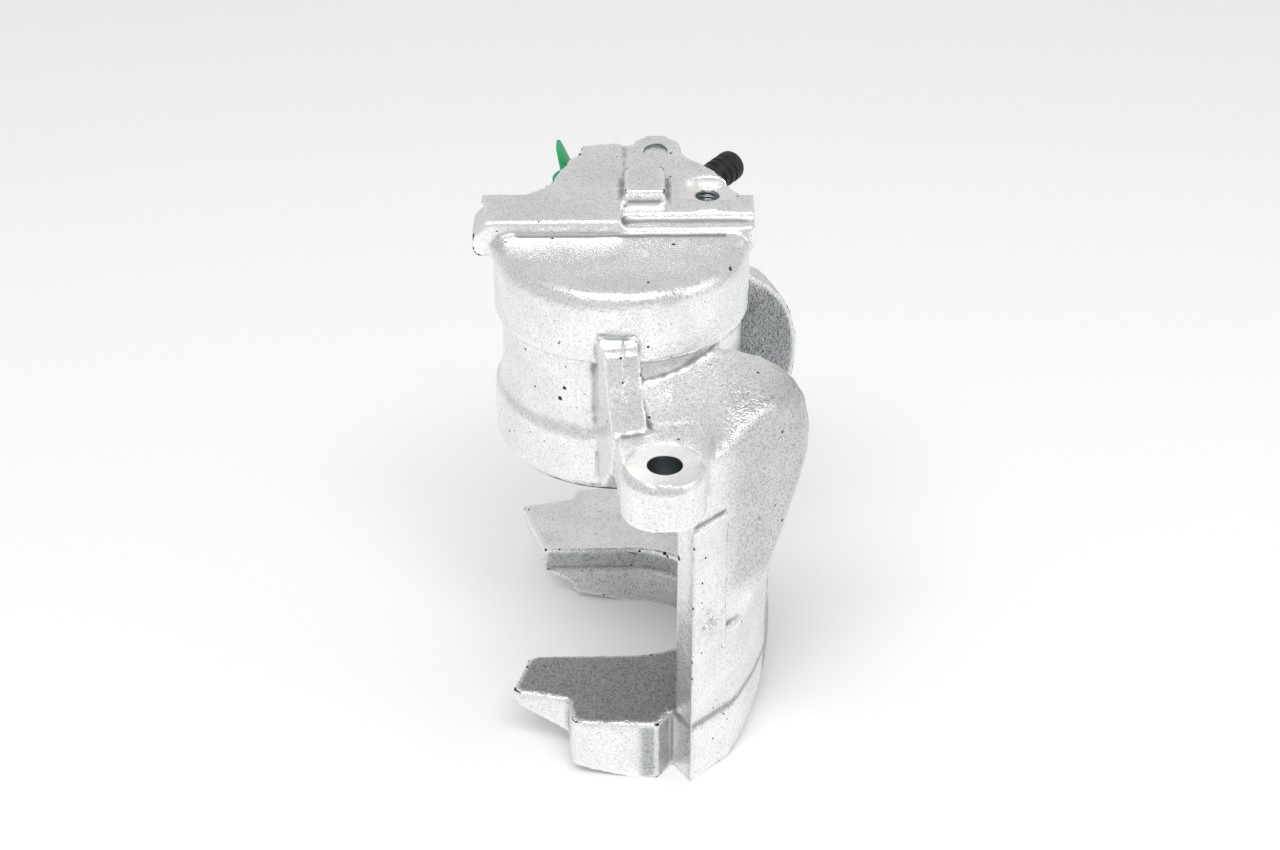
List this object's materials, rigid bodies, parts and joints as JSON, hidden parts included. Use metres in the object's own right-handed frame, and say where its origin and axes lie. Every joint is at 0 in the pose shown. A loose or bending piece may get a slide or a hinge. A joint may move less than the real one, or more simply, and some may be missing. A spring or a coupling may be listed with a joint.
{
  "type": "brake caliper",
  "caption": "Sliding disc brake caliper: cast body with cylinder, bridge and two fingers, piston with seal and boot, bleed screw with cap and plugged hose port.",
  "frame": {"origin": "on the piston's axis in the plane of the cylinder's rim, inside the mouth of the piston's hollow", "axes": "+Z along the piston's axis from the fingers to the closed end, +X away from the wheel's centre towards the bridge, +Y along the disc's edge"},
  "size_m": [0.1007, 0.1648, 0.169],
  "materials": {
    "coated_iron": "rough sand casting under a bright zinc-aluminium flake coat",
    "plated_steel": "ground and plated",
    "seal_rubber": "smooth moulded",
    "boot_rubber": "satin moulded",
    "spring_steel": "drawn wire",
    "yellow_zinc_steel": "turned and zinc plated",
    "cap_rubber": "satin moulded",
    "green_plastic": "moulded polyethylene"
  },
  "bodies": {
    "housing": {"caliper_housing": "coated_iron", "piston_seal": "seal_rubber", "dust_boot": "boot_rubber", "boot_retaining_ring": "spring_steel", "port_plug_washer": "seal_rubber"},
    "piston": {"piston": "plated_steel"},
    "bleed_screw": {"bleed_screw": "yellow_zinc_steel"},
    "bleed_cap": {"bleed_cap": "cap_rubber"},
    "port_plug": {"port_plug": "green_plastic"}
  },
  "joints": [
    {"name": "piston_slide", "type": "slide", "parent": "housing", "child": "piston", "axis": [0, 0, -1], "range_m": [0, 0.022], "deforming": ["dust_boot"]},
    {"name": "bleed_screw_turn", "type": "hinge", "parent": "housing", "child": "bleed_screw", "pos_m": [0.01626, 0.01938, 0.066], "axis": [0.6393, 0.7618, 0.1045], "range_deg": [0, 360]},
    {"name": "bleed_cap_pull", "type": "slide", "parent": "bleed_screw", "child": "bleed_cap", "axis": [0.6393, 0.7618, 0.1045], "range_m": [0, 0.016]},
    {"name": "port_plug_pull", "type": "slide", "parent": "housing", "child": "port_plug", "axis": [-0.2588, 0, 0.9659], "range_m": [0, 0.014]}
  ]
}
